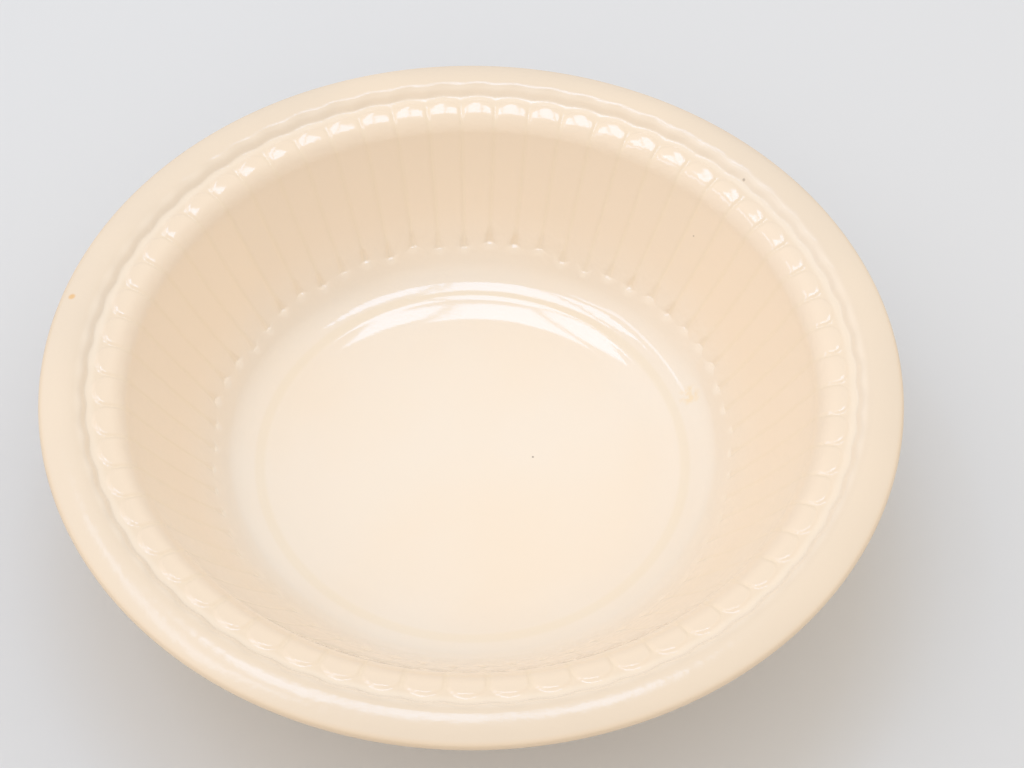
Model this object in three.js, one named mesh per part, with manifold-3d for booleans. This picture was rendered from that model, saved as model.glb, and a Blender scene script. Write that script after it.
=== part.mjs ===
// Round open serving dish in cream-glazed earthenware, one fired piece, in millimetres.
// +Z is the dish's axis and the origin is the centre of the foot ring's resting plane.
// A reeded wall falls from a plain lip to a flat well. The outside is smooth, on a low foot ring.
// The section is drawn in a plane of radius and level, and its slopes are inwards and down.

import * as THREE from 'three';
import { mergeVertices } from 'three/addons/utils/BufferGeometryUtils.js';
import Module from 'manifold-3d';

const wasm = await Module();
wasm.setup();

const DEGREE = Math.PI / 180;

// Driving sizes: the whole dish.
const rimRadius = 120;
const insideDepth = 48.8;
const floorThickness = 5.6;
const wallThickness = 4.5;

// Driving sizes: the foot ring, set in a little under the edge of the well.
const footHeight = 3.4;
const footWidth = 5.2;
const footSetback = 1.1;
const footEdgeRound = 0.7;

// Driving sizes: the lip, from its outer edge over its crest and down into the ring groove.
const edgeRadius = 1.4;
const lipWidth = 8.3;
const lipRound = 22;
const crestFlat = 0.9;
const lipInnerRound = 4.2;
const lipInnerSlope = 52 * DEGREE;
const ringRound = 1.2;
const ringWidth = 5.7;

// Driving sizes: the reeds. Each has a round-ended dome on the shoulder and fades out above the well.
const reedCount = 60;
const firstGroove = 2.1 * DEGREE;
const domeDepth = 0.55;
const grooveDepth = 0.24;
const reedCrown = 0.5;
const domeLength = 3.8;
const domeDrop = 2.5;
const domeRound = 33;
const domeOuterSlope = 8.5 * DEGREE;
const domeInnerSlope = 17.5 * DEGREE;
const domeFlank = 1.2;
const reedEnd = 4.6;
const reedFade = 2;
const lipScallop = 0.2;

// Driving sizes: the shoulder under the domes, and the wall.
const shoulderRound = 9;
const wallTopSteeper = 5.54 * DEGREE;
const wallFootFlatter = 9.46 * DEGREE;
const wallTrials = 6;

// Driving sizes: the cove, the low ring round the well, and the verge that dishes its floor.
const wellRadius = 48.7;
const vergeRound = 40.8;
const vergeSlope = 16.8 * DEGREE;
const ringRoll = 12.8;
const ringSlope = 5.8 * DEGREE;
const ringFlat = 0.2;
const ringCove = 27.3;
const coveSlope = 14.4 * DEGREE;
const coveRound = 12;

// Facets: columns for each reed, which gather at its grooves, and columns round the outside.
const columnsPerReed = 4;
const columnGather = 0.133;
const outsideColumns = 96;
const edgeTurns = [145, 90];
const undersideTurns = [0.55, 0.15];
const archLimit = 0.985;
const onRow = 0.001;

// Levels and radii that follow from the driving sizes.
const floorLevel = footHeight + floorThickness;
const topLevel = floorLevel + insideDepth;
const crest = new THREE.Vector2(rimRadius - lipWidth, topLevel);
const lipEdgeSlope = Math.asin((lipWidth - edgeRadius) / (lipRound - edgeRadius));
const edgeLevel = topLevel - lipRound + (lipRound - edgeRadius) * Math.cos(lipEdgeSlope);
const domeStart = new THREE.Vector2(crest.x - ringWidth, topLevel - domeDrop);
const domeEnd = turned(domeStart, domeRound, domeOuterSlope, domeInnerSlope);
const vergeEdge = turned(new THREE.Vector2(wellRadius, floorLevel), -vergeRound, 0, vergeSlope);
const ringTop = turned(vergeEdge, -ringRoll, vergeSlope, ringSlope);
const ringEdge = ringTop.clone().addScaledVector(heading(ringSlope), -ringFlat);
const coveEdge = turned(ringEdge, -ringCove, ringSlope, coveSlope);
const wallSlope = settledWallSlope();
const wallTopSlope = wallSlope + wallTopSteeper;
const wallFootSlope = wallSlope - wallFootFlatter;
const [wallTop, wallFoot] = wallEnds(wallSlope);
const wallCorner = crossing(wallTop, wallTopSlope, wallFoot, wallFootSlope);
const domeArc = domeRound * (domeInnerSlope - domeOuterSlope);
const shoulderArc = shoulderRound * (wallTopSlope - domeInnerSlope);
const wallCurve = new THREE.QuadraticBezierCurve(wallTop, wallCorner, wallFoot);
const wallEnd = domeArc + shoulderArc + wallCurve.getLength();
const footOuterRadius = coveEdge.x - footSetback;
const footInnerRadius = footOuterRadius - footWidth;

// The way inwards and down at a slope, and the way out of the surface there.
function heading(slope) {
  return new THREE.Vector2(-Math.cos(slope), -Math.sin(slope));
}

function squareTo(slope) {
  return new THREE.Vector2(-Math.sin(slope), Math.cos(slope));
}

// The end of an arc that turns from one slope to another. A negative radius walks it outwards.
function turned(start, radius, before, after) {
  const bulge = after > before ? radius : -radius;
  return start.clone().addScaledVector(squareTo(after).sub(squareTo(before)), bulge);
}

// The wall's ends at a mean slope: the shoulder turns down to it from the domes, and the cove up from the well.
function wallEnds(slope) {
  const top = turned(domeEnd, shoulderRound, domeInnerSlope, slope + wallTopSteeper);
  const foot = turned(coveEdge, -coveRound, coveSlope, slope - wallFootFlatter);
  return [top, foot];
}

// The mean slope at which the wall's two ends face each other.
function settledWallSlope() {
  let slope = Math.atan2(domeEnd.y - coveEdge.y, domeEnd.x - coveEdge.x);
  for (let trial = 0; trial < wallTrials; trial++) {
    const [top, foot] = wallEnds(slope);
    slope = Math.atan2(top.y - foot.y, top.x - foot.x);
  }
  return slope;
}

// Where the lines through two points of the section meet.
function crossing(start, slope, end, endSlope) {
  const across = end.clone().sub(start);
  const reach = across.cross(heading(endSlope)) / heading(slope).cross(heading(endSlope));
  return start.clone().addScaledVector(heading(slope), reach);
}

function slopeOf(curve, share) {
  const tangent = curve.getTangentAt(share);
  return Math.atan2(-tangent.y, -tangent.x);
}

function eased(share) {
  return THREE.MathUtils.smoothstep(share, 0, 1);
}

// The point and slope at a length walked along the reeds' crests, inwards from the domes' outer end.
function onCourse(way) {
  if (way < domeArc) {
    const slope = domeOuterSlope + way / domeRound;
    return { point: turned(domeStart, domeRound, domeOuterSlope, slope), slope };
  }
  if (way < domeArc + shoulderArc) {
    const slope = domeInnerSlope + (way - domeArc) / shoulderRound;
    return { point: turned(domeEnd, shoulderRound, domeInnerSlope, slope), slope };
  }
  const share = THREE.MathUtils.clamp((way - domeArc - shoulderArc) / wallCurve.getLength(), 0, 1);
  return { point: wallCurve.getPointAt(share), slope: slopeOf(wallCurve, share) };
}

// How deep the grooves are: deepest between the domes, shallow on the wall and gone at its foot.
function depthAt(way) {
  const depth = THREE.MathUtils.lerp(domeDepth, grooveDepth, eased((way - domeLength) / shoulderArc));
  return depth * eased((wallEnd - reedEnd - way) / reedFade);
}

// How far a dome's round end has drawn back at a side, which is 0 on the crest and 1 in the groove.
function archShift(side) {
  return domeLength * (1 - Math.sqrt(1 - Math.min(side, archLimit) ** 2));
}

// The surface of the reeds: crowned on top, and level with the grooves outside their round ends.
function onReeds(side, way) {
  const { point, slope } = onCourse(way);
  const offCentre = Math.hypot(side, Math.max(0, 1 - way / domeLength));
  const top = offCentre < 1 - onRow ? 1 - reedCrown * side ** 2 : 0;
  return point.addScaledVector(squareTo(slope), depthAt(way) * (top - 1));
}

function ringGround(way) {
  const { point, slope } = onCourse(way);
  return point.addScaledVector(squareTo(slope), -domeDepth);
}

// A row of the reeds, which follows the domes' round ends at first and then runs level.
function reedRow(way) {
  const follow = Math.max(0, 1 - way / (domeLength * 2.2));
  return { at: onCourse(way).point, place: (side) => onReeds(side, way + archShift(side) * follow) };
}

// A row of the lip's inner side, which draws in a little beside each dome.
function lipRow(at, follow) {
  return { at, place: (side) => at.clone().add(ringGround(archShift(side) * follow)).sub(ringGround(0)) };
}

// The rows of the hollow, from the middle of the floor up the crests of the reeds to the lip.
function hollowRows() {
  const smooth = [
    new THREE.Vector2(0, floorLevel),
    new THREE.Vector2(wellRadius, floorLevel),
    vergeEdge,
    ringEdge,
    coveEdge,
    wallFoot,
  ];
  const ways = [
    wallEnd - reedEnd - reedFade,
    domeArc + shoulderArc,
    domeArc + shoulderArc / 2,
    domeArc,
    domeFlank,
  ];
  const arcEnd = turned(crest, lipInnerRound, 0, lipInnerSlope);
  const ringTurn = squareTo(lipInnerSlope).sub(squareTo(domeOuterSlope)).multiplyScalar(ringRound);
  const ringFoot = crossing(arcEnd.clone().add(ringTurn), lipInnerSlope, ringGround(0), domeOuterSlope);
  const lip = [
    ringGround(0),
    ringFoot,
    ringFoot.clone().sub(ringTurn),
    turned(crest, lipInnerRound, 0, lipInnerSlope / 2),
  ];
  const innerCrest = new THREE.Vector2(crest.x - crestFlat / 2, topLevel);
  const above = [innerCrest.clone().add(new THREE.Vector2(0, 1)), new THREE.Vector2(0, topLevel + 1)];
  return [
    ...smooth.map((at) => ({ at })),
    ...ways.map(reedRow),
    ...lip.map((at, i) => lipRow(at, i === 0 ? 1 : lipScallop)),
    { at: innerCrest },
    ...above.map((at) => ({ at })),
  ];
}

// A point of the outer wall, one wall thickness below the wall inside it.
function outside(share) {
  return wallCurve.getPointAt(share).addScaledVector(squareTo(slopeOf(wallCurve, share)), -wallThickness);
}

// The underside, the foot ring, the outer wall and the lip, closed flat across the lip's crest.
function outerProfile() {
  const heel = outside(1);
  const footTop = new THREE.Vector2(footOuterRadius + footEdgeRound, footHeight);
  const heelBend = new THREE.Vector2(heel.x - wallThickness, footHeight + footEdgeRound);
  const edgeCentre = new THREE.Vector2(rimRadius - edgeRadius, edgeLevel);
  const edge = edgeTurns.map((angle) => edgeCentre.clone().addScaledVector(squareTo(-angle * DEGREE), edgeRadius));
  const under = shoulderRound - wallThickness;
  return [
    new THREE.Vector2(0, footHeight),
    new THREE.Vector2(footInnerRadius - footEdgeRound, footHeight),
    new THREE.Vector2(footInnerRadius, footEdgeRound),
    new THREE.Vector2(footInnerRadius + footEdgeRound, 0),
    new THREE.Vector2(footOuterRadius - footEdgeRound, 0),
    new THREE.Vector2(footOuterRadius, footEdgeRound),
    ...new THREE.QuadraticBezierCurve(footTop, heelBend, heel).getPoints(2),
    outside(0.5),
    outside(0),
    ...undersideTurns.map((share) => turned(outside(0), under, wallTopSlope * share, wallTopSlope)),
    ...edge,
    edgeCentre.clone().addScaledVector(squareTo(-lipEdgeSlope), edgeRadius),
    turned(crest, -lipRound, 0, -lipEdgeSlope / 2),
    new THREE.Vector2(crest.x + crestFlat / 2, topLevel),
    new THREE.Vector2(0, topLevel),
  ];
}

function latheSolid(profile, columns) {
  const geometry = new THREE.LatheGeometry(profile, columns);
  geometry.rotateX(Math.PI / 2);
  geometry.deleteAttribute('normal');
  geometry.deleteAttribute('uv');
  return mergeVertices(geometry);
}

// The hollow, with each point of its rows moved to its place on a reed, in a groove or on the lip.
function reededHollow() {
  const rows = hollowRows();
  const geometry = latheSolid(rows.map((row) => row.at), columnsPerReed * reedCount);
  const position = geometry.attributes.position;
  const pitch = (2 * Math.PI) / reedCount;
  for (let i = 0; i < position.count; i++) {
    const here = new THREE.Vector2(Math.hypot(position.getX(i), position.getY(i)), position.getZ(i));
    const row = rows.find(({ at }) => at.distanceTo(here) < onRow);
    const turn = Math.atan2(position.getY(i), position.getX(i)) / pitch;
    const phase = turn - Math.floor(turn + onRow);
    const gathered = phase - columnGather * Math.sin(2 * Math.PI * phase);
    const place = row.place ? row.place(Math.min(1, Math.abs(2 * gathered - 1))) : here;
    const angle = (turn - phase + gathered) * pitch + firstGroove;
    position.setXYZ(i, place.x * Math.cos(angle), place.x * Math.sin(angle), place.y);
  }
  return geometry;
}

function toManifold(geometry) {
  return new wasm.Manifold(new wasm.Mesh({
    numProp: 3,
    vertProperties: new Float32Array(geometry.attributes.position.array),
    triVerts: new Uint32Array(geometry.index.array),
  }));
}

function toGeometry(manifold) {
  const mesh = manifold.getMesh();
  const geometry = new THREE.BufferGeometry();
  geometry.setAttribute('position', new THREE.BufferAttribute(mesh.vertProperties, 3));
  geometry.setIndex(new THREE.BufferAttribute(mesh.triVerts, 1));
  geometry.computeVertexNormals();
  return geometry;
}

const creamGlaze = new THREE.MeshStandardMaterial({
  name: 'cream_glaze',
  color: new THREE.Color(0.93, 0.86, 0.76),
  roughness: 0.15,
  metalness: 0,
});

function dishBody() {
  const blank = toManifold(latheSolid(outerProfile(), outsideColumns));
  const hollow = toManifold(reededHollow());
  const body = new THREE.Mesh(toGeometry(blank.subtract(hollow)), creamGlaze);
  body.name = 'dish_body';
  return body;
}

const dish = new THREE.Group();
dish.add(dishBody());

export default dish;
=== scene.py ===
from math import asin, atan2, cos, hypot, pi, radians, sin, sqrt
from random import Random

import bpy
from mathutils import Matrix, Vector


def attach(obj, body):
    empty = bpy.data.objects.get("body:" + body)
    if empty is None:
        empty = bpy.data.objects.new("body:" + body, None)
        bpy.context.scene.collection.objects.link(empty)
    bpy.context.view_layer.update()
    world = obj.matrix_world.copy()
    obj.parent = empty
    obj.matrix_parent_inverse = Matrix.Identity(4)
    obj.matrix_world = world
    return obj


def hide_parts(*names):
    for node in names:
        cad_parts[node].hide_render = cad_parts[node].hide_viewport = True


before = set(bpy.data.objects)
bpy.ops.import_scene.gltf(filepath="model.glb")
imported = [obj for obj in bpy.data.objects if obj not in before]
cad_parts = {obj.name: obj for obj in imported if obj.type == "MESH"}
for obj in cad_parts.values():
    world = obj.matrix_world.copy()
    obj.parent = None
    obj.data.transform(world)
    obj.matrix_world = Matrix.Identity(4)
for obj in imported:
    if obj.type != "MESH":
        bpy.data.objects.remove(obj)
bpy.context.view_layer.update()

MM = 0.001

# The whole dish.
RIM_RADIUS = 120 * MM
INSIDE_DEPTH = 48.8 * MM
FLOOR_THICKNESS = 5.6 * MM
WALL_THICKNESS = 4.5 * MM

# The foot ring.
FOOT_HEIGHT = 3.4 * MM
FOOT_WIDTH = 5.2 * MM
FOOT_SETBACK = 1.1 * MM
FOOT_ROUND = 0.7 * MM

# The lip, from its outer edge over its crest and down into the ring groove.
EDGE_RADIUS = 1.4 * MM
EDGE_START = radians(165)
LIP_WIDTH = 8.3 * MM
LIP_ROUND = 22 * MM
LIP_INNER_ROUND = 4.2 * MM
LIP_INNER_SLOPE = radians(52)
RING_ROUND = 1.2 * MM
RING_WIDTH = 5.7 * MM

# The reeds, each with a round-ended dome on the shoulder. The crown is a share of the reed's height, and the
# flanks and the arch's limit are shares of its half width.
REED_COUNT = 60
FIRST_GROOVE = radians(2.1)
REED_DEPTH = 0.55 * MM
REED_CROWN = 0.55
REED_FLANK = 0.2
END_FLANK = 0.5
DOME_LENGTH = 3.8 * MM
DOME_DROP = 2.5 * MM
DOME_OUTER_SLOPE = radians(8.5)
DOME_INNER_SLOPE = radians(17.5)
DOME_ROUND = 33 * MM
ARCH_LIMIT = 0.985

# The grooves between them, which are shallow on the wall and deepen to a short ledge at their foot.
GROOVE_DEPTH = 0.14 * MM
GROOVE_END_DEPTH = 0.6 * MM
GROOVE_END_LENGTH = 6 * MM
GROOVE_END_FLANK = 0.42
GROOVE_END_STEEPER = 0.25
REED_END = 4.6 * MM
REED_FADE = 0.75 * MM

# How far the groove feet differ in place and size, and where along and beside a groove that is felt.
GROOVE_SEED = 7
FOOT_SHIFT = 1.7 * MM
FOOT_SIZES = (0.5, 1.45)
FOOT_REACH = 14 * MM
FOOT_BLEND = 3 * MM
FOOT_SIDE = 0.3
FOOT_SIDE_BLEND = 0.5

# How open the glaze leaves the grooves at the front, and how softly that changes round the dish.
OPEN_FRONT = 0.35
OPEN_BLEND = 0.6

# How the lip's inner side and the rows of the mesh follow the domes' round ends.
LIP_SCALLOP = 0.2
LIP_LINE = 0.2
RING_CORNER = 0.8
ROW_STRAIGHT = 8.5 * MM

# Where the glaze pools: in the ring groove, as shares of the lip's rows, round each dome, and in the grooves.
RING_POOL_START = 0.6
RING_POOL_BLEND = 0.25
RING_POOL = 0.4
DOME_POOL_REACH = DOME_LENGTH / 5
POOL_FLANK = 1.5 * REED_FLANK

# Where the glaze is grainy, as lengths along the reeds.
GRAIN_TOP_END = 15 * MM
GRAIN_FOOT = 14 * MM
GRAIN_BLEND = 4 * MM

# The wall, from the shoulder under the domes to the cove.
SHOULDER_ROUND = 9 * MM
WALL_TOP_SLOPE = radians(62)
WALL_FOOT_SLOPE = radians(47)

# The cove, the low ring round the well, and the verge that dishes its floor.
WELL_RADIUS = 48.7 * MM
VERGE_ROUND = 40.8 * MM
VERGE_SLOPE = radians(16.8)
RING_ROLL = 12.8 * MM
RING_SLOPE = radians(5.8)
RING_FLAT = 0.2 * MM
RING_COVE = 27.3 * MM
COVE_SLOPE = radians(14.4)
COVE_ROUND = 12 * MM

# Turns of the columns across half a reed, as shares of the pitch. Smooth parts keep every quarter.
HALF_COLUMNS = (0, 0.012, 0.03, 0.055, 0.08, 0.11, 0.16, 0.25, 0.375, 0.5)
QUARTER = 0.25

# Steps of the fine course along the reeds, which the rows of the mesh are read from.
DOME_STEPS = 40
SHOULDER_STEPS = 60
WALL_STEPS = 200

# Steps of the profile's curves, from the underside up over the lip and down to the middle of the well.
HEEL_STEPS = 5
OUTSIDE_STEPS = 8
UNDER_LIP_STEPS = 6
EDGE_STEPS = 9
CROWN_STEPS = 6
LIP_STEPS = 9
RING_STEPS = 5
WELL_STEPS = (6, 8, 12, 14)

# Rows on the flat floor, as shares of the well's radius, and rows before the crest that keep every column.
FLOOR_SHARES = (0.8, 0.5, 0.2, 0)
LIP_TOP_ROWS = 9

# How near counts as the same: places, and turns as shares of the pitch or of a quarter.
SAME_PLACE = 0.004 * MM
ON_AXIS = 0.01 * MM
SAME_TURN = 0.001
SAME_QUARTER = 0.01

# What follows from the driving sizes.
PITCH = 2 * pi / REED_COUNT
FLOOR_LEVEL = FOOT_HEIGHT + FLOOR_THICKNESS
TOP_LEVEL = FLOOR_LEVEL + INSIDE_DEPTH
CREST_RADIUS = RIM_RADIUS - LIP_WIDTH
LIP_EDGE_SLOPE = asin((RIM_RADIUS - EDGE_RADIUS - CREST_RADIUS) / (LIP_ROUND - EDGE_RADIUS))
EDGE_LEVEL = TOP_LEVEL - LIP_ROUND + (LIP_ROUND - EDGE_RADIUS) * cos(LIP_EDGE_SLOPE)
HEEL_REACH = 0.8 * WALL_THICKNESS


def point(radius, level):
    return Vector((radius, 0, level))


def heading(slope):
    """The way inwards and down at a slope."""
    return Vector((-cos(slope), 0, -sin(slope)))


def square_to(slope):
    """The way out of the surface, upwards and inwards, at a slope."""
    return Vector((-sin(slope), 0, cos(slope)))


def carried_round(place, angle):
    """A point of the section, carried round the axis by an angle."""
    return place.x * cos(angle), place.x * sin(angle), place.z


def turn(start, radius, slopes):
    """The end of an arc that leaves its start inwards, and turns from one slope to another."""
    before, after = slopes
    bulge = radius if after > before else -radius
    return start + bulge * (square_to(after) - square_to(before))


def bend_samples(start, radius, slopes, steps):
    """Points and slopes along such an arc, without its start."""
    before, after = slopes
    angles = [before + (after - before) * i / steps for i in range(1, steps + 1)]
    return [(turn(start, radius, (before, angle)), angle) for angle in angles]


# The inside, from the dome's outer end to the flat floor, as arcs between named slopes.
DOME_START = point(CREST_RADIUS - RING_WIDTH, TOP_LEVEL - DOME_DROP)
DOME_END = turn(DOME_START, DOME_ROUND, (DOME_OUTER_SLOPE, DOME_INNER_SLOPE))
WALL_TOP = turn(DOME_END, SHOULDER_ROUND, (DOME_INNER_SLOPE, WALL_TOP_SLOPE))
WELL_ARCS = (
    (COVE_ROUND, (WALL_FOOT_SLOPE, COVE_SLOPE)),
    (RING_COVE, (COVE_SLOPE, RING_SLOPE)),
    (RING_ROLL, (RING_SLOPE, VERGE_SLOPE)),
    (VERGE_ROUND, (VERGE_SLOPE, 0)),
)


def well_drop():
    """From the foot of the reeds to the edge of the flat floor."""
    end = heading(RING_SLOPE) * RING_FLAT
    for radius, slopes in WELL_ARCS:
        end = turn(end, radius, slopes)
    return end


WALL_FOOT = point(WELL_RADIUS, FLOOR_LEVEL) - well_drop()


def crossing(start, slope, end, end_slope):
    """Where the lines through two points of the section meet."""
    across = end - start
    way, back = heading(slope), heading(end_slope)
    reach = (across.x * back.z - across.z * back.x) / (way.x * back.z - way.z * back.x)
    return start + way * reach


WALL_CORNER = crossing(WALL_TOP, WALL_TOP_SLOPE, WALL_FOOT, WALL_FOOT_SLOPE)


def on_wall(share):
    """A point of the wall's curve and its slope there."""
    run = (WALL_CORNER - WALL_TOP).lerp(WALL_FOOT - WALL_CORNER, share)
    there = WALL_TOP.lerp(WALL_CORNER, share).lerp(WALL_CORNER.lerp(WALL_FOOT, share), share)
    return there, atan2(-run.z, -run.x)


def inner_course():
    """Points and slopes close together along the reeds' crests and the well, with the way walked."""
    course = [(DOME_START, DOME_OUTER_SLOPE)]
    course += bend_samples(DOME_START, DOME_ROUND, (DOME_OUTER_SLOPE, DOME_INNER_SLOPE), DOME_STEPS)
    course += bend_samples(DOME_END, SHOULDER_ROUND, (DOME_INNER_SLOPE, WALL_TOP_SLOPE), SHOULDER_STEPS)
    course += [on_wall(i / WALL_STEPS) for i in range(1, WALL_STEPS + 1)]
    walked = [0]
    for (before, _), (after, _) in zip(course, course[1:]):
        walked.append(walked[-1] + (after - before).length)
    return course, walked


COURSE, WALKED = inner_course()
WALL_LENGTH = WALKED[-1]
SHOULDER_LENGTH = SHOULDER_ROUND * (WALL_TOP_SLOPE - DOME_INNER_SLOPE)


def on_course(way):
    """The point and slope at a length walked inwards from the dome's outer end."""
    index = max(1, next((i for i, length in enumerate(WALKED) if length >= way), len(WALKED) - 1))
    share = (way - WALKED[index - 1]) / (WALKED[index] - WALKED[index - 1])
    (before, slope), (after, next_slope) = COURSE[index - 1], COURSE[index]
    return before.lerp(after, share), slope + (next_slope - slope) * share


def eased(share):
    share = min(1, max(0, share))
    return share * share * (3 - 2 * share)


def stretch(way, start, end, blend):
    """1 between two lengths along the reeds, and blended to 0 at both."""
    return eased((way - start) / blend) * eased((end - way) / blend)


def reed_depth(way, foot_size=1):
    """How deep a groove is: deep between the domes and at its foot, and shallow on the wall."""
    on_wall_share = eased((way - DOME_LENGTH) / SHOULDER_LENGTH)
    depth = REED_DEPTH + (GROOVE_DEPTH - REED_DEPTH) * on_wall_share
    left = WALL_LENGTH - REED_END - way
    depth += (GROOVE_END_DEPTH * foot_size - GROOVE_DEPTH) * eased(1 - left / GROOVE_END_LENGTH)
    return depth * min(1, max(0, left / (REED_FADE * foot_size)))


def arch_shift(side):
    """How far the dome's round end has drawn back at a side: 0 on the crest and 1 in the groove."""
    return DOME_LENGTH * (1 - sqrt(1 - min(side, ARCH_LIMIT) ** 2))


def flank_share(side, way):
    """0 on top of the reed and 1 outside its round-ended outline."""
    end = max(0, 1 - way / DOME_LENGTH)
    foot = eased(1 - (WALL_LENGTH - REED_END - way) / GROOVE_END_LENGTH)
    flank = REED_FLANK + (END_FLANK - REED_FLANK) * end + (GROOVE_END_FLANK - REED_FLANK) * foot
    return eased((hypot(side, end) - 1 + flank) / (flank * (1 - GROOVE_END_STEEPER * foot)))


def on_reeds(side, way, shift=0, foot_size=1, filled=0):
    """A point of a reed or the groove beside it, which may be shifted along, resized or partly filled."""
    there, slope = on_course(way + shift)
    depth = reed_depth(way, foot_size) * (1 - filled)
    height = (1 - REED_CROWN * side ** 2) * (1 - flank_share(side, way))
    return there - square_to(slope) * depth * (1 - height)


def ring_ground(way):
    """The floor of the ring groove at a length walked inwards from the dome's outer end."""
    there, slope = on_course(way)
    return there - square_to(slope) * REED_DEPTH


def lip_course():
    """Points from the lip's crest down its inner side to the floor of the ring groove."""
    crest = point(CREST_RADIUS, TOP_LEVEL)
    arc_end = turn(crest, LIP_INNER_ROUND, (0, LIP_INNER_SLOPE))
    ring_turn = turn(point(0, 0), RING_ROUND, (LIP_INNER_SLOPE, DOME_OUTER_SLOPE))
    ground = ring_ground(0)
    strip_meets = crossing(arc_end + ring_turn, LIP_INNER_SLOPE, ground, DOME_OUTER_SLOPE)
    straight_end = strip_meets - ring_turn
    points = [crest]
    points += [p for p, _ in bend_samples(crest, LIP_INNER_ROUND, (0, LIP_INNER_SLOPE), LIP_STEPS)]
    points += [arc_end.lerp(straight_end, 0.5), straight_end]
    ring = bend_samples(straight_end, RING_ROUND, (LIP_INNER_SLOPE, DOME_OUTER_SLOPE), RING_STEPS)
    points += [p for p, _ in ring]
    points += [points[-1].lerp(ground, 0.5), ground]
    return points


def outside(share):
    """A point of the outer wall, one wall thickness below the wall inside it."""
    there, slope = on_wall(share)
    return there - square_to(slope) * WALL_THICKNESS


def corner_round(before, corner, after, reach, steps=3):
    """A rounded corner: a short curve from the line before it to the line after it."""
    start = corner + (before - corner).normalized() * reach
    end = corner + (after - corner).normalized() * reach
    shares = [i / steps for i in range(steps + 1)]
    return [start.lerp(corner, s).lerp(corner.lerp(end, s), s) for s in shares]


def underside_profile():
    """From the middle of the underside over the foot ring and up the outer wall to the lip."""
    foot_outer = WALL_FOOT.x - COVE_ROUND * (sin(WALL_FOOT_SLOPE) - sin(COVE_SLOPE)) - FOOT_SETBACK
    foot_inner = foot_outer - FOOT_WIDTH
    recess = point(foot_inner, FOOT_HEIGHT)
    inner_toe = point(foot_inner, 0)
    outer_toe = point(foot_outer, 0)
    foot_top = point(foot_outer + FOOT_ROUND, FOOT_HEIGHT)
    heel = outside(1)
    heel_bend = point(heel.x - WALL_THICKNESS, FOOT_HEIGHT + FOOT_ROUND)
    points = [point(0, FOOT_HEIGHT), point(foot_inner * 0.5, FOOT_HEIGHT)]
    points += corner_round(points[-1], recess, inner_toe, 2 * FOOT_ROUND)
    points += corner_round(recess, inner_toe, outer_toe, FOOT_ROUND)
    points += corner_round(inner_toe, outer_toe, foot_top, FOOT_ROUND)
    points += corner_round(outer_toe, foot_top, heel_bend, FOOT_ROUND)
    points += corner_round(points[-1], heel_bend, heel, HEEL_REACH, HEEL_STEPS)
    points += [outside(1 - i / OUTSIDE_STEPS) for i in range(OUTSIDE_STEPS + 1)]
    under_shoulder = outside(0)
    under = SHOULDER_ROUND - WALL_THICKNESS
    slopes = [WALL_TOP_SLOPE * (1 - i / UNDER_LIP_STEPS) for i in range(1, UNDER_LIP_STEPS)]
    points += [under_shoulder + (square_to(s) - square_to(WALL_TOP_SLOPE)) * under for s in slopes]
    return points


def edge_profile():
    """Round the lip's edge and over its crown, up to the crest."""
    centre = point(RIM_RADIUS - EDGE_RADIUS, EDGE_LEVEL)
    sweep = LIP_EDGE_SLOPE - EDGE_START
    turns = [EDGE_START + sweep * i / EDGE_STEPS for i in range(EDGE_STEPS + 1)]
    points = [centre + square_to(-t) * EDGE_RADIUS for t in turns]
    slopes = [-LIP_EDGE_SLOPE * (1 - i / CROWN_STEPS) for i in range(1, CROWN_STEPS)]
    crest = point(CREST_RADIUS, TOP_LEVEL)
    points += [crest - LIP_ROUND * (square_to(0) - square_to(slope)) for slope in slopes]
    return points


def well_profile():
    """From the foot of the reeds over the low ring to the middle of the floor."""
    points = []
    here = WALL_FOOT
    for (radius, slopes), steps in zip(WELL_ARCS, WELL_STEPS):
        points += [p for p, _ in bend_samples(here, radius, slopes, steps)]
        here = points[-1]
        if slopes[1] == RING_SLOPE:
            here = here + heading(RING_SLOPE) * RING_FLAT
            points.append(here)
    points += [point(WELL_RADIUS * share, FLOOR_LEVEL) for share in FLOOR_SHARES]
    return points


def spaced(start, end, count):
    """Lengths at even steps from the start, which is left out, to the end."""
    return [start + (end - start) * i / count for i in range(1, count + 1)]


def reed_ways():
    """Lengths along the reeds where the mesh has a row, closest at the arch and the groove's end."""
    arch = DOME_LENGTH * END_FLANK
    dome = WALKED[DOME_STEPS]
    shoulder = WALKED[DOME_STEPS + SHOULDER_STEPS]
    end = WALL_LENGTH - REED_END
    fade = end - REED_FADE * FOOT_SIZES[1]
    deepens = fade - GROOVE_END_LENGTH
    ways = spaced(0, arch, 4) + spaced(arch, dome, 5) + spaced(dome, shoulder, 9)
    ways += spaced(shoulder, deepens, 8) + spaced(deepens, fade, 6) + spaced(fade, end, 9)
    return ways + [WALL_LENGTH - REED_END / 2, WALL_LENGTH]


LOWER = underside_profile() + edge_profile()
LIP = lip_course()
REEDS = reed_ways()
WELL = well_profile()
FIRST_LIP = len(LOWER)
FIRST_REED = FIRST_LIP + len(LIP)
FIRST_WELL = FIRST_REED + len(REEDS)


def open_edit(piece, kind):
    bpy.ops.object.select_all(action="DESELECT")
    piece.select_set(True)
    bpy.context.view_layer.objects.active = piece
    bpy.context.tool_settings.mesh_select_mode = (kind == "VERT", kind == "EDGE", kind == "FACE")
    bpy.ops.object.mode_set(mode="EDIT")


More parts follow.
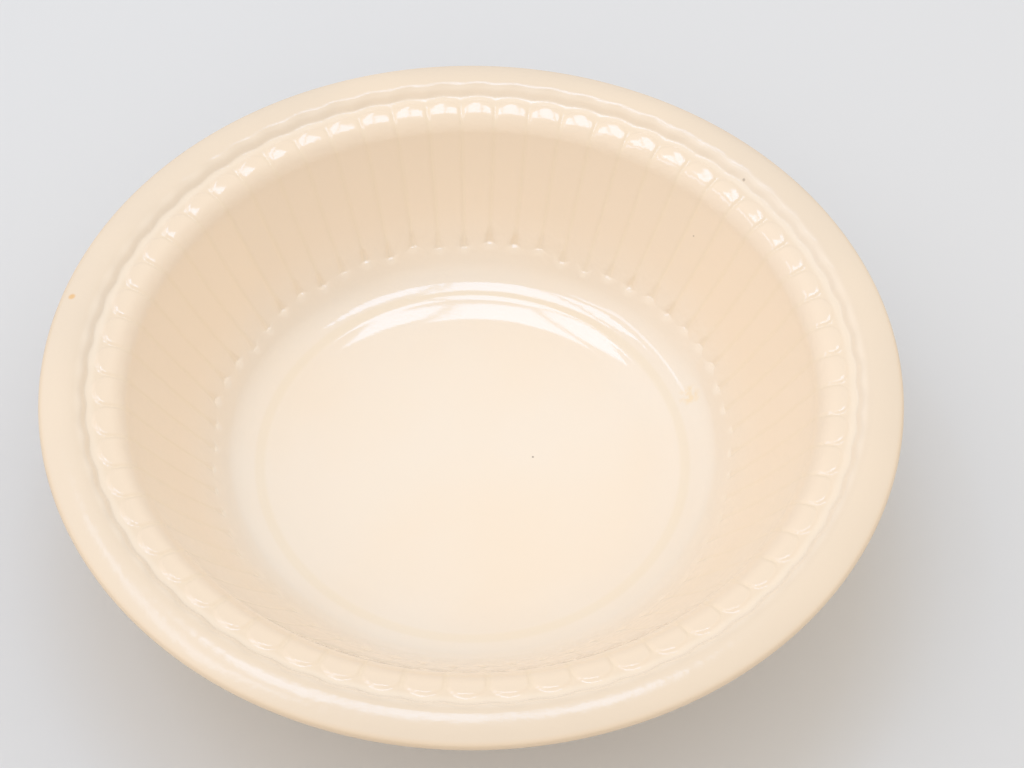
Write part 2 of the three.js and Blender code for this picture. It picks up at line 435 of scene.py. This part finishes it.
def draw_profile(name, points):
    """A chain of edges through the points, extruded one by one from a single corner of a plane."""
    bpy.ops.object.select_all(action="DESELECT")
    bpy.ops.mesh.primitive_plane_add(size=1 * MM, location=(0, 0, 0))
    piece = bpy.context.object
    piece.name = name
    open_edit(piece, "VERT")
    bpy.ops.mesh.select_all(action="SELECT")
    bpy.ops.mesh.merge(type="CENTER")
    bpy.ops.transform.translate(value=points[0])
    for before, after in zip(points, points[1:]):
        bpy.ops.mesh.extrude_region_move(TRANSFORM_OT_translate={"value": after - before})
    bpy.ops.object.mode_set(mode="OBJECT")
    return piece


def spin_reed(piece):
    """One reed's wedge of the dish, from groove to groove, in columns that gather at the grooves."""
    columns = list(HALF_COLUMNS) + [1 - share for share in reversed(HALF_COLUMNS[:-1])]
    open_edit(piece, "VERT")
    bpy.ops.mesh.select_all(action="SELECT")
    for before, after in zip(columns, columns[1:]):
        angle = (after - before) * PITCH
        bpy.ops.mesh.spin(steps=1, angle=angle, center=(0, 0, 0), axis=(0, 0, -1))
    bpy.ops.object.mode_set(mode="OBJECT")


def shape_lip(side, index):
    """A point of the lip's inner side, which draws in beside each dome's round end."""
    share = index / (len(LIP) - 1)
    soft = arch_shift(1) * eased(side)
    shift = soft + (arch_shift(side) - soft) * share ** 3
    near_domes = eased((share - RING_CORNER) / (1 - RING_CORNER))
    follow = LIP_SCALLOP * eased(share / LIP_LINE) + (1 - LIP_SCALLOP) * near_domes
    pool = eased((share - RING_POOL_START) / RING_POOL_BLEND) * RING_POOL
    return LIP[index] + ring_ground(shift * follow) - ring_ground(0), pool


def shape_reed(side, start):
    """A point of a reed or the groove beside it, in a row that follows the dome's round end."""
    way = start + arch_shift(side) * max(0, 1 - start / ROW_STRAIGHT)
    in_groove = eased((side - 1 + POOL_FLANK) / POOL_FLANK) * min(1, reed_depth(way) / GROOVE_DEPTH)
    round_dome = RING_POOL * (1 - eased(way / DOME_POOL_REACH))
    return on_reeds(side, way), max(in_groove, round_dome)


def graininess(way):
    """The glaze is grainy under the domes and at the foot of the reeds, and smooth elsewhere."""
    under_domes = stretch(way, DOME_LENGTH, GRAIN_TOP_END, GRAIN_BLEND)
    return under_domes + stretch(way, WALL_LENGTH - GRAIN_FOOT, WALL_LENGTH, GRAIN_BLEND)


def rows_of(piece, points):
    """Each corner's row: the number of the profile's point that it was spun from."""
    rows = []
    for vertex in piece.data.vertices:
        place = point(hypot(vertex.co.x, vertex.co.y), vertex.co.z)
        rows.append(min(range(len(points)), key=lambda i: (points[i] - place).length_squared))
    return rows


def shape_wedge(piece, rows):
    """Moves each corner of the wedge to its place, and marks where glaze pools and is grainy."""
    new_mark = piece.data.attributes.new
    pool, grain, down = (new_mark(name, "FLOAT", "POINT") for name in ("pool", "grain", "way"))
    for i, vertex in enumerate(piece.data.vertices):
        index = rows[i]
        if not FIRST_LIP <= index < FIRST_WELL:
            continue
        angle = atan2(vertex.co.y, vertex.co.x)
        side = min(1, abs(2 * angle / PITCH - 1))
        if index < FIRST_REED:
            place, pooled = shape_lip(side, index - FIRST_LIP)
        else:
            way = REEDS[index - FIRST_REED]
            place, pooled = shape_reed(side, way)
            grain.data[i].value = graininess(way)
            down.data[i].value = way
        vertex.co = carried_round(place, angle)
        pool.data[i].value = pooled


def is_spare(turn_share):
    """True between the quarters of a reed's pitch."""
    quarters = turn_share / QUARTER
    return abs(quarters - round(quarters)) > SAME_QUARTER


def thin_smooth_parts(piece, rows):
    """Dissolves the closest columns where the dish has no reeds, under it and in its well."""
    mesh = piece.data
    smooth = [not FIRST_LIP - LIP_TOP_ROWS <= row < FIRST_WELL for row in rows]
    shares = [atan2(vertex.co.y, vertex.co.x) / PITCH for vertex in mesh.vertices]
    on_axis = [hypot(vertex.co.x, vertex.co.y) < ON_AXIS for vertex in mesh.vertices]
    for item in list(mesh.vertices) + list(mesh.polygons):
        item.select = False
    for edge in mesh.edges:
        a, b = edge.vertices
        outer = b if on_axis[a] else a
        along = on_axis[a] != on_axis[b] or abs(shares[a] - shares[b]) < SAME_TURN
        lengthwise = along and not (on_axis[a] and on_axis[b])
        edge.select = smooth[a] and smooth[b] and lengthwise and is_spare(shares[outer])
    open_edit(piece, "EDGE")
    bpy.ops.mesh.dissolve_edges(use_verts=True)
    bpy.ops.object.mode_set(mode="OBJECT")


def open_share(groove):
    """How much of a groove's depth the glaze leaves open: all at the back and least at the front."""
    towards_back = sin(groove * PITCH)
    return OPEN_FRONT + (1 - OPEN_FRONT) * eased((towards_back + OPEN_BLEND) / (2 * OPEN_BLEND))


def vary_grooves(piece):
    """Ends each groove at a place and in a size of its own, and fills the grooves towards the front."""
    chance = Random(GROOVE_SEED)
    feet = []
    for _ in range(REED_COUNT):
        shift = chance.uniform(-FOOT_SHIFT, FOOT_SHIFT)
        feet.append((shift, chance.uniform(*FOOT_SIZES)))
    down = piece.data.attributes["way"].data
    for i, vertex in enumerate(piece.data.vertices):
        way = down[i].value
        if way < ROW_STRAIGHT:
            continue
        angle = atan2(vertex.co.y, vertex.co.x)
        groove = round(angle / PITCH)
        side = 1 - 2 * abs(angle / PITCH - groove)
        share = stretch(way, WALL_LENGTH - FOOT_REACH, WALL_LENGTH, FOOT_BLEND)
        share *= eased((side - FOOT_SIDE) / FOOT_SIDE_BLEND)
        shift, size = feet[groove % REED_COUNT]
        filled = (1 - open_share(groove)) * eased((way - ROW_STRAIGHT) / FOOT_BLEND)
        place = on_reeds(side, way, shift * share, 1 + (size - 1) * share, filled)
        vertex.co = carried_round(place, angle)


def copy_round(piece):
    """Copies the wedge round the axis, once for each reed, and closes the seams and the poles."""
    open_edit(piece, "VERT")
    bpy.ops.mesh.select_all(action="SELECT")
    bpy.ops.mesh.spin(
        steps=REED_COUNT - 1, angle=2 * pi - PITCH, dupli=True, center=(0, 0, 0), axis=(0, 0, 1)
    )
    bpy.ops.mesh.select_all(action="SELECT")
    bpy.ops.mesh.remove_doubles(threshold=SAME_PLACE)
    bpy.ops.mesh.normals_make_consistent(inside=False)
    bpy.ops.object.mode_set(mode="OBJECT")
    vary_grooves(piece)
    piece.data.transform(Matrix.Rotation(FIRST_GROOVE, 4, "Z"))
    bpy.ops.object.shade_smooth()


def make_dish():
    points = LOWER + LIP + [on_course(way)[0] for way in REEDS] + WELL
    dish = draw_profile("dish", points)
    spin_reed(dish)
    rows = rows_of(dish, points)
    shape_wedge(dish, rows)
    thin_smooth_parts(dish, rows)
    copy_round(dish)
    return dish


def new_material(name):
    material = bpy.data.materials.new(name)
    material.use_nodes = True
    return material, material.node_tree.nodes, material.node_tree.links


def noise(nodes, links, scale, detail=2):
    """A noise texture in the dish's own coordinates, as its value."""
    place = nodes.new("ShaderNodeTexCoord")
    texture = nodes.new("ShaderNodeTexNoise")
    texture.inputs["Scale"].default_value = scale
    texture.inputs["Detail"].default_value = detail
    links.new(place.outputs["Object"], texture.inputs["Vector"])
    return texture.outputs["Fac"]


def ranged(nodes, links, value, before, after):
    """A value taken from one range to another, and held at its ends."""
    node = nodes.new("ShaderNodeMapRange")
    for name, number in zip(("From Min", "From Max", "To Min", "To Max"), before + after):
        node.inputs[name].default_value = number
    links.new(value, node.inputs["Value"])
    return node.outputs["Result"]


def mixed(nodes, links, share, start, end):
    """A colour between two, each a plain colour or another node's."""
    node = nodes.new("ShaderNodeMix")
    node.data_type = "RGBA"
    links.new(share, node.inputs["Factor"])
    for name, colour in (("A", start), ("B", end)):
        socket = next(i for i in node.inputs if i.name == name and i.type == "RGBA")
        if isinstance(colour, tuple):
            socket.default_value = colour + (1,)
        else:
            links.new(colour, socket)
    return next(o for o in node.outputs if o.type == "RGBA")


def attribute(nodes, name):
    node = nodes.new("ShaderNodeAttribute")
    node.attribute_name = name
    return node.outputs["Fac"]


def product(nodes, links, first, second):
    node = nodes.new("ShaderNodeMath")
    node.operation = "MULTIPLY"
    links.new(first, node.inputs[0])
    if isinstance(second, (int, float)):
        node.inputs[1].default_value = second
    else:
        links.new(second, node.inputs[1])
    return node.outputs["Value"]


def larger(nodes, links, first, second):
    node = nodes.new("ShaderNodeMath")
    node.operation = "MAXIMUM"
    links.new(first, node.inputs[0])
    links.new(second, node.inputs[1])
    return node.outputs["Value"]


def bumped(nodes, links, height, distance, before=None):
    node = nodes.new("ShaderNodeBump")
    node.inputs["Distance"].default_value = distance
    links.new(height, node.inputs["Height"])
    if before is not None:
        links.new(before, node.inputs["Normal"])
    return node.outputs["Normal"]


def radius_of(nodes, links):
    """How far a place is from the dish's axis."""
    place = nodes.new("ShaderNodeTexCoord")
    flat = nodes.new("ShaderNodeVectorMath")
    flat.operation = "MULTIPLY"
    flat.inputs[1].default_value = (1, 1, 0)
    links.new(place.outputs["Object"], flat.inputs[0])
    length = nodes.new("ShaderNodeVectorMath")
    length.operation = "LENGTH"
    links.new(flat.outputs["Vector"], length.inputs[0])
    return length.outputs["Value"]


def radius_share(nodes, links, start, end):
    """0 nearer the dish's axis than one radius, 1 past another, and eased between them."""
    ramp = nodes.new("ShaderNodeMapRange")
    ramp.interpolation_type = "SMOOTHSTEP"
    ramp.inputs["From Min"].default_value = start
    ramp.inputs["From Max"].default_value = end
    links.new(radius_of(nodes, links), ramp.inputs["Value"])
    return ramp.outputs["Result"]


def spot(nodes, links, place, radius):
    """1 in the middle of a small round mark at a place on the dish, falling to 0 at its radius."""
    here = nodes.new("ShaderNodeTexCoord")
    distance = nodes.new("ShaderNodeVectorMath")
    distance.operation = "DISTANCE"
    distance.inputs[1].default_value = place
    links.new(here.outputs["Object"], distance.inputs[0])
    return ranged(nodes, links, distance.outputs["Value"], (radius * 0.5, radius), (1, 0))


def parts_of(nodes, links):
    """A place's three coordinates."""
    here = nodes.new("ShaderNodeTexCoord")
    parts = nodes.new("ShaderNodeSeparateXYZ")
    links.new(here.outputs["Object"], parts.inputs["Vector"])
    return parts.outputs


# The glaze's colours, some with painted light or shade in them.
WELL_CREAM = (0.88, 0.778, 0.655)
# The wall's warmer cream is partly painted shade: the warm light bounced inside the wall.
WALL_CREAM_AND_BOUNCE = (0.905, 0.745, 0.575)
# The lip's darker cream is partly painted shade, for a dimmer lip.
LIP_CREAM_AND_SHADE = (0.81, 0.675, 0.525)
# Painted light: a paler cream that lifts the shade in the ring groove.
GROOVE_PAINTED_LIGHT = (0.92, 0.80, 0.66)
# Painted shade: a tan that darkens the pale band of the shoulder under the domes.
SHOULDER_PAINTED_SHADE = (0.83, 0.675, 0.515)
# The tan at the lip's outer edge is partly the glaze breaking brown there and partly painted shade where the
# edge turns down.
EDGE_TAN_AND_SHADE = (0.80, 0.63, 0.45)
CLOUD_CREAM = (0.90, 0.74, 0.56)
POOLED_GLAZE = (0.82, 0.68, 0.45)

# Radii between which one colour or surface gives way to the next.
WELL_TO_WALL = (68 * MM, 86 * MM)
WALL_TO_LIP = (98 * MM, 110 * MM)
LIP_TO_EDGE = (118.2 * MM, 119.8 * MM)
SMOOTH_TO_LIP = (106 * MM, 110 * MM)
WELL_TO_COVE = (63.5 * MM, 67 * MM)

# Bands round the axis: the radii where each begins, those where it ends, and how strong it is.
# Painted shade on the shoulder under the domes.
SHOULDER_SHADE_BAND = ((94.5 * MM, 97.5 * MM), (98.5 * MM, 102 * MM), 0.6)
# Painted light in the ring groove, lifting its shade.
GROOVE_LIGHT_BAND = ((104.5 * MM, 106.3 * MM), (108.6 * MM, 110.6 * MM), 0.7)
# Painted shade: a darker yellow band inside the low ring, in the colour of pooled glaze.
LOW_RING_SHADE_BAND = ((61 * MM, 62.4 * MM), (64 * MM, 65.2 * MM), 0.22)
POOL_TINT = 0.14

# The clouds in the glaze: how fine they are, where the noise counts and how strong they get.
CLOUD_SCALE = 16
CLOUD_DETAIL = 3
CLOUD_NOISE = (0.4, 0.75)
CLOUD_TINT = (0, 0.5)

# Small marks in the glaze: colour, place and radius.
SPECK_BROWN = (0.18, 0.12, 0.08)
STAIN_TAN = (0.80, 0.45, 0.14)
MARKS = (
    (SPECK_BROWN, (82.3 * MM, 70.45 * MM, 55.4 * MM), 0.8 * MM),
    (SPECK_BROWN, (67.2 * MM, 60.6 * MM, 41.0 * MM), 0.5 * MM),
    (SPECK_BROWN, (17.9 * MM, 0.6 * MM, 9.0 * MM), 0.4 * MM),
    (SPECK_BROWN, (-61.1 * MM, -15.0 * MM, 10.7 * MM), 0.35 * MM),
    (STAIN_TAN, (-114.2 * MM, 22.2 * MM, 57.1 * MM), 1.3 * MM),
)
MARK_TINT = 0.7

# The broken yellow smudge in the cove.
SMUDGE_YELLOW = (0.88, 0.66, 0.36)
SMUDGE_PLACE = (66.1 * MM, 21.1 * MM, 12.2 * MM)
SMUDGE_RADIUS = 4 * MM
SMUDGE_SCALE = 500
SMUDGE_NOISE = (0.42, 0.62)
SMUDGE_TINT = (0, 0.5)

# Underneath: the bare worn edge that the dish stands on, and the marks of the three stilts of its firing.
BARE_CLAY = (0.80, 0.70, 0.56)
BARE_LEVELS = (0.12 * MM, 0.3 * MM)
STILT_COUNT = 3
STILT_RING = 50 * MM
STILT_MARK = 1.3 * MM

# How glossy the surfaces are.
GLAZE_ROUGHNESS = 0.07
LIP_ROUGHNESS = 0.15
CLAY_ROUGHNESS = 0.7
GLAZE_IOR = 1.55

# The orange peel all over and on the lip, from the cove outwards, and the grain: how fine and how high.
PEEL_SCALE = 160
PEEL = 0.02 * MM
LIP_SCALE = 330
LIP_PEEL = 0.07 * MM
COVE_SCALE = 240
COVE_PEEL = 0.04 * MM
GRAIN_SCALE = 420
GRAIN_PEEL = 0.1 * MM


def band(nodes, links, begins, ends, strength):
    """A band round the axis: its strength between the radii where it begins and ends, and 0 outside them."""
    begun = radius_share(nodes, links, *begins)
    unended = ranged(nodes, links, radius_share(nodes, links, *ends), (0, 1), (strength, 0))
    return product(nodes, links, begun, unended)


def glaze_colour(nodes, links):
    """Cream from the well to the lip, partly painted shade, with painted shade and light in bands, clouds,
    and yellow where it pools.
    """
    # Painted shade: a warmer wall and a darker lip than the well.
    colour = mixed(nodes, links, radius_share(nodes, links, *WELL_TO_WALL), WELL_CREAM, WALL_CREAM_AND_BOUNCE)
    colour = mixed(nodes, links, radius_share(nodes, links, *WALL_TO_LIP), colour, LIP_CREAM_AND_SHADE)
    # Painted shade on the shoulder under the domes.
    colour = mixed(nodes, links, band(nodes, links, *SHOULDER_SHADE_BAND), colour, SHOULDER_PAINTED_SHADE)
    # Painted light in the ring groove, lifting its shade.
    colour = mixed(nodes, links, band(nodes, links, *GROOVE_LIGHT_BAND), colour, GROOVE_PAINTED_LIGHT)
    # The glaze breaking tan at the outer edge, with painted shade where the edge turns down.
    colour = mixed(nodes, links, radius_share(nodes, links, *LIP_TO_EDGE), colour, EDGE_TAN_AND_SHADE)
    clouds = ranged(nodes, links, noise(nodes, links, CLOUD_SCALE, CLOUD_DETAIL), CLOUD_NOISE, CLOUD_TINT)
    colour = mixed(nodes, links, clouds, colour, CLOUD_CREAM)
    pooled = product(nodes, links, attribute(nodes, "pool"), POOL_TINT)
    colour = mixed(nodes, links, pooled, colour, POOLED_GLAZE)
    # Painted shade inside the low ring, in the yellow of pooled glaze.
    return mixed(nodes, links, band(nodes, links, *LOW_RING_SHADE_BAND), colour, POOLED_GLAZE)


def marked(nodes, links, colour):
    """The colour with the small marks in it, and the smudge."""
    for mark, place, radius in MARKS:
        share = product(nodes, links, spot(nodes, links, place, radius), MARK_TINT)
        colour = mixed(nodes, links, share, colour, mark)
    broken = ranged(nodes, links, noise(nodes, links, SMUDGE_SCALE), SMUDGE_NOISE, SMUDGE_TINT)
    smudge = product(nodes, links, spot(nodes, links, SMUDGE_PLACE, SMUDGE_RADIUS), broken)
    return mixed(nodes, links, smudge, colour, SMUDGE_YELLOW)


def bared(nodes, links, colour, bare):
    """The colour with bare clay at the stilt marks and on the worn edge."""
    for i in range(STILT_COUNT):
        turn_round = pi / 2 + 2 * pi * i / STILT_COUNT
        stilt = (STILT_RING * cos(turn_round), STILT_RING * sin(turn_round), FOOT_HEIGHT)
        colour = mixed(nodes, links, spot(nodes, links, stilt, STILT_MARK), colour, BARE_CLAY)
    return mixed(nodes, links, bare, colour, BARE_CLAY)


def glaze_peel(nodes, links, on_lip):
    """The faint unevenness of the glaze, each kind added to the one before it."""
    peel = bumped(nodes, links, noise(nodes, links, PEEL_SCALE, 1), PEEL)
    lip = product(nodes, links, noise(nodes, links, LIP_SCALE), on_lip)
    peel = bumped(nodes, links, lip, LIP_PEEL, peel)
    past_well = radius_share(nodes, links, *WELL_TO_COVE)
    cove = product(nodes, links, past_well, noise(nodes, links, COVE_SCALE, 1))
    peel = bumped(nodes, links, cove, COVE_PEEL, peel)
    grain = product(nodes, links, noise(nodes, links, GRAIN_SCALE, 1), attribute(nodes, "grain"))
    return bumped(nodes, links, grain, GRAIN_PEEL, peel)


def cream_glaze():
    """A glossy cream glaze, a little less glossy on the lip, and bare clay where the dish stands."""
    material, nodes, links = new_material("cream_glaze")
    shader = nodes["Principled BSDF"]
    on_lip = radius_share(nodes, links, *SMOOTH_TO_LIP)
    bare = ranged(nodes, links, parts_of(nodes, links)["Z"], BARE_LEVELS, (1, 0))
    colour = marked(nodes, links, glaze_colour(nodes, links))
    links.new(bared(nodes, links, colour, bare), shader.inputs["Base Color"])
    glazed = ranged(nodes, links, on_lip, (0, 1), (GLAZE_ROUGHNESS, LIP_ROUGHNESS))
    rough = larger(nodes, links, glazed, product(nodes, links, bare, CLAY_ROUGHNESS))
    links.new(rough, shader.inputs["Roughness"])
    shader.inputs["IOR"].default_value = GLAZE_IOR
    links.new(glaze_peel(nodes, links, on_lip), shader.inputs["Normal"])
    return material


FLOOR_SIZE = 4
FLOOR_GREY = (0.7, 0.7, 0.7, 1)
FLOOR_ROUGHNESS = 0.8


def floor_paint():
    material, nodes, _ = new_material("floor_paint")
    shader = nodes["Principled BSDF"]
    shader.inputs["Base Color"].default_value = FLOOR_GREY
    shader.inputs["Roughness"].default_value = FLOOR_ROUGHNESS
    return material


# The camera, as fitted to the rim, the ring groove and the well in the photograph.
PICTURE_WIDTH = 1024
FOCAL_PIXELS = 1937.5
SENSOR_WIDTH = 36
CAMERA_DISTANCE = 4.5195 * RIM_RADIUS
CAMERA_HEIGHT = radians(51.373)
CAMERA_PAN = radians(1.153)
CAMERA_TILT = radians(0.650)


def make_camera():
    data = bpy.data.cameras.new("camera")
    data.lens = FOCAL_PIXELS / PICTURE_WIDTH * SENSOR_WIDTH
    data.sensor_width = SENSOR_WIDTH
    camera = bpy.data.objects.new("camera", data)
    bpy.context.scene.collection.objects.link(camera)
    bpy.context.scene.camera = camera
    aim = Matrix.Rotation(pi / 2 - CAMERA_HEIGHT, 4, "X")
    turned = Matrix.Rotation(-CAMERA_PAN, 4, "Y") @ Matrix.Rotation(-CAMERA_TILT, 4, "X")
    place = Vector((0, -cos(CAMERA_HEIGHT), sin(CAMERA_HEIGHT))) * CAMERA_DISTANCE
    camera.matrix_world = Matrix.Translation(place + Vector((0, 0, EDGE_LEVEL))) @ aim @ turned


def make_floor():
    bpy.ops.object.select_all(action="DESELECT")
    bpy.ops.mesh.primitive_plane_add(size=FLOOR_SIZE, location=(0, 0, 0))
    floor = bpy.context.object
    floor.name = "floor"
    floor.data.materials.append(floor_paint())


# The window: panes in a level ceiling. Each is its middle and its size, to the right and back, as shares of
# the ceiling's height, and its share of the light.
CEILING = 1.4
PANES = (
    ((0.125, 0.310), (0.150, 0.190), 1),
    ((-0.040, 0.355), (0.140, 0.280), 1),
    ((-0.202, 0.320), (0.144, 0.220), 1),
    ((-0.475, 0.260), (0.110, 0.520), 0.6),
    ((-0.340, 0.090), (0.180, 0.090), 0.6),
)
PANE_LIGHT = (1.8, 3.0, 4.8)

# The soft lamps, which have no edges: turn from behind the dish, height, how wide they reach, and light.
SOFT_LAMPS = (
    (radians(180), radians(48), radians(42), (0.62, 0.54, 0.45)),
    (radians(-75), radians(45), radians(48), (0.74, 0.69, 0.65)),
    (radians(50), radians(50), radians(48), (0.50, 0.44, 0.35)),
)
SKY_LIGHT = 0.66
LOW_SKY = 0.72
LOW_SKY_HEIGHT = radians(28)


def make_pane(middle, size, share):
    """A pane of the window, which faces straight down."""
    data = bpy.data.lights.new("pane", "AREA")
    data.shape = "RECTANGLE"
    data.size, data.size_y = (side * CEILING for side in size)
    data.color = [light / max(PANE_LIGHT) for light in PANE_LIGHT]
    data.energy = share * max(PANE_LIGHT) * pi * data.size * data.size_y
    pane = bpy.data.objects.new("pane", data)
    bpy.context.scene.collection.objects.link(pane)
    pane.location = (middle[0] * CEILING, middle[1] * CEILING, CEILING)


def soft_lamp(nodes, links, turn_round, height, reach, light):
    """A round patch of light in the sky, brightest in its middle and gone at its reach."""
    direction = nodes.new("ShaderNodeTexCoord")
    towards = nodes.new("ShaderNodeVectorMath")
    towards.operation = "DOT_PRODUCT"
    towards.inputs[1].default_value = (
        sin(turn_round) * cos(height), cos(turn_round) * cos(height), sin(height)
    )
    links.new(direction.outputs["Generated"], towards.inputs[0])
    patch = nodes.new("ShaderNodeMapRange")
    patch.interpolation_type = "SMOOTHSTEP"
    patch.inputs["From Min"].default_value = cos(reach)
    links.new(towards.outputs["Value"], patch.inputs["Value"])
    glow = nodes.new("ShaderNodeVectorMath")
    glow.operation = "SCALE"
    glow.inputs[0].default_value = light
    links.new(patch.outputs["Result"], glow.inputs["Scale"])
    return glow.outputs["Vector"]


def make_world():
    """A pale sky, dimmer near the horizon, with the soft lamps in it."""
    world = bpy.data.worlds.new("studio")
    bpy.context.scene.world = world
    world.use_nodes = True
    nodes, links = world.node_tree.nodes, world.node_tree.links
    direction = nodes.new("ShaderNodeTexCoord")
    parts = nodes.new("ShaderNodeSeparateXYZ")
    links.new(direction.outputs["Generated"], parts.inputs["Vector"])
    sky = ranged(
        nodes, links, parts.outputs["Z"], (0, sin(LOW_SKY_HEIGHT)), (LOW_SKY * SKY_LIGHT, SKY_LIGHT)
    )
    for lamp in SOFT_LAMPS:
        add = nodes.new("ShaderNodeVectorMath")
        add.operation = "ADD"
        links.new(sky, add.inputs[0])
        links.new(soft_lamp(nodes, links, *lamp), add.inputs[1])
        sky = add.outputs["Vector"]
    links.new(sky, nodes["Background"].inputs["Color"])


make_camera()
dish = make_dish()
dish.data.materials.append(cream_glaze())
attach(dish, "root")
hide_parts("dish_body")
make_floor()
for pane in PANES:
    make_pane(*pane)
make_world()
bpy.context.scene.view_settings.view_transform = "Standard"
